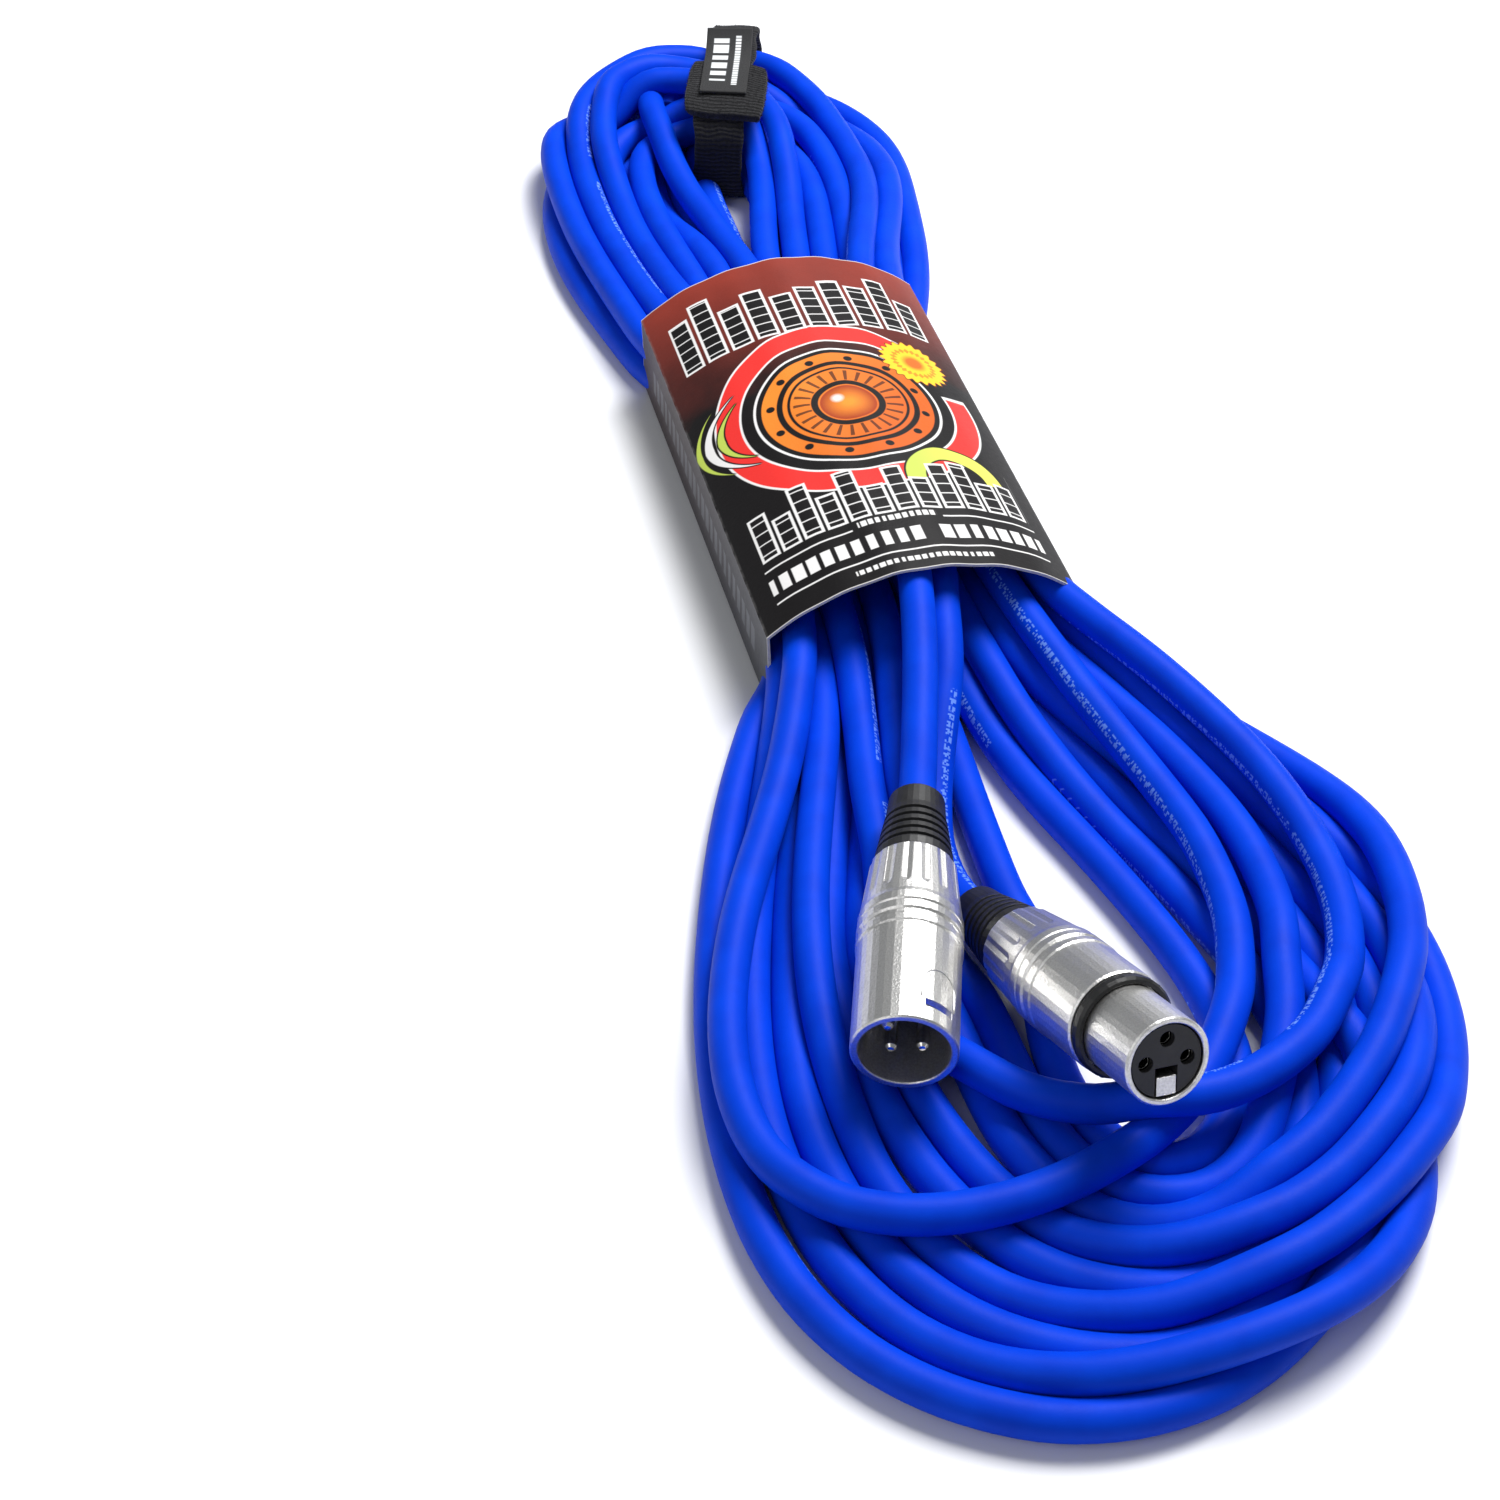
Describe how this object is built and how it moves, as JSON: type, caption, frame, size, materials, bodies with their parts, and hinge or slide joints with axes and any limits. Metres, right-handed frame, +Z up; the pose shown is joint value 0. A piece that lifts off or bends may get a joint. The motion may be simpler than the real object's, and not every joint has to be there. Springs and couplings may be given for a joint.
{
  "type": "xlr cable coil",
  "caption": "Balanced microphone cable wound in a long hank, held by a card sleeve and a hook-and-loop tie, with a pin connector and a latching socket connector lying on it.",
  "frame": {"origin": "bottom centre of the whole object's bounding box, on the surface it lies on", "axes": "+Z up; +Y along the hank, towards its narrow tied end; -Y towards the wide loop and the connectors' faces"},
  "size_m": [0.1423, 0.4556, 0.0417],
  "materials": {
    "jacket": "soft matte PVC, printed in pale blue",
    "nickel": "satin nickel, blasted",
    "pin_metal": "silver plated, smooth",
    "black_plastic": "moulded, fine satin",
    "chuck_plastic": "moulded, natural white",
    "rubber": "moulded, matte",
    "card": "printed card, satin",
    "webbing": "ribbed hook-and-loop webbing",
    "woven_label": "woven",
    "core_red": "core insulation",
    "core_white": "core insulation",
    "copper": "bare stranded copper"
  },
  "bodies": {
    "cable": {"cable_coil": "jacket", "male_lead": "jacket", "female_lead": "jacket", "tie_strap": "webbing", "tie_head": "webbing", "tie_label": "woven_label", "male_barrel": "nickel", "female_barrel": "nickel", "male_insert": "black_plastic", "female_insert": "black_plastic", "nose_ring": "rubber", "male_chuck": "chuck_plastic", "female_chuck": "chuck_plastic", "male_wire_hot": "core_red", "male_wire_cold": "core_white", "male_wire_shield": "copper", "female_wire_hot": "core_red", "female_wire_cold": "core_white", "female_wire_shield": "copper", "male_pin_1": "pin_metal", "female_socket_1": "pin_metal", "male_pin_2": "pin_metal", "female_socket_2": "pin_metal", "male_pin_3": "pin_metal", "female_socket_3": "pin_metal"},
    "male_boot": {"male_boot": "rubber"},
    "male_cap": {"male_cap": "nickel"},
    "female_boot": {"female_boot": "rubber"},
    "female_cap": {"female_cap": "nickel"},
    "latch": {"latch_lever": "nickel", "release_button": "black_plastic"},
    "sleeve": {"card_sleeve": "card"}
  },
  "joints": [
    {"name": "male_boot_slide", "type": "slide", "parent": "cable", "child": "male_boot", "axis": [0.3223, 0.9466, 0], "range_m": [0, 0.004]},
    {"name": "male_cap_turn", "type": "hinge", "parent": "male_boot", "child": "male_cap", "pos_m": [-0.0239, -0.12342, 0.0195], "axis": [0.3223, 0.9466, 0], "range_deg": [0, 1441]},
    {"name": "female_boot_slide", "type": "slide", "parent": "cable", "child": "female_boot", "axis": [-0.1493, 0.9117, -0.3827], "range_m": [0, 0.004]},
    {"name": "female_cap_turn", "type": "hinge", "parent": "female_boot", "child": "female_cap", "pos_m": [-0.00507, -0.14188, 0.01766], "axis": [-0.1493, 0.9117, -0.3827], "range_deg": [0, 1441]},
    {"name": "latch_press", "type": "hinge", "parent": "cable", "child": "latch", "pos_m": [-0.00377, -0.1537, 0.01775], "axis": [-0.9859, -0.1075, 0.1286], "range_deg": [0, 2.6], "stiffness_Nm_per_rad": 2, "springref_deg": -1.15},
    {"name": "sleeve_slide", "type": "slide", "parent": "cable", "child": "sleeve", "axis": [0, 1, 0], "range_m": [-0.004, 0.004]}
  ],
  "couplings": [
    {"joint": "male_cap_turn", "follows": "male_boot_slide", "rad_per_m": 6283.2},
    {"joint": "female_cap_turn", "follows": "female_boot_slide", "rad_per_m": 6283.2}
  ]
}
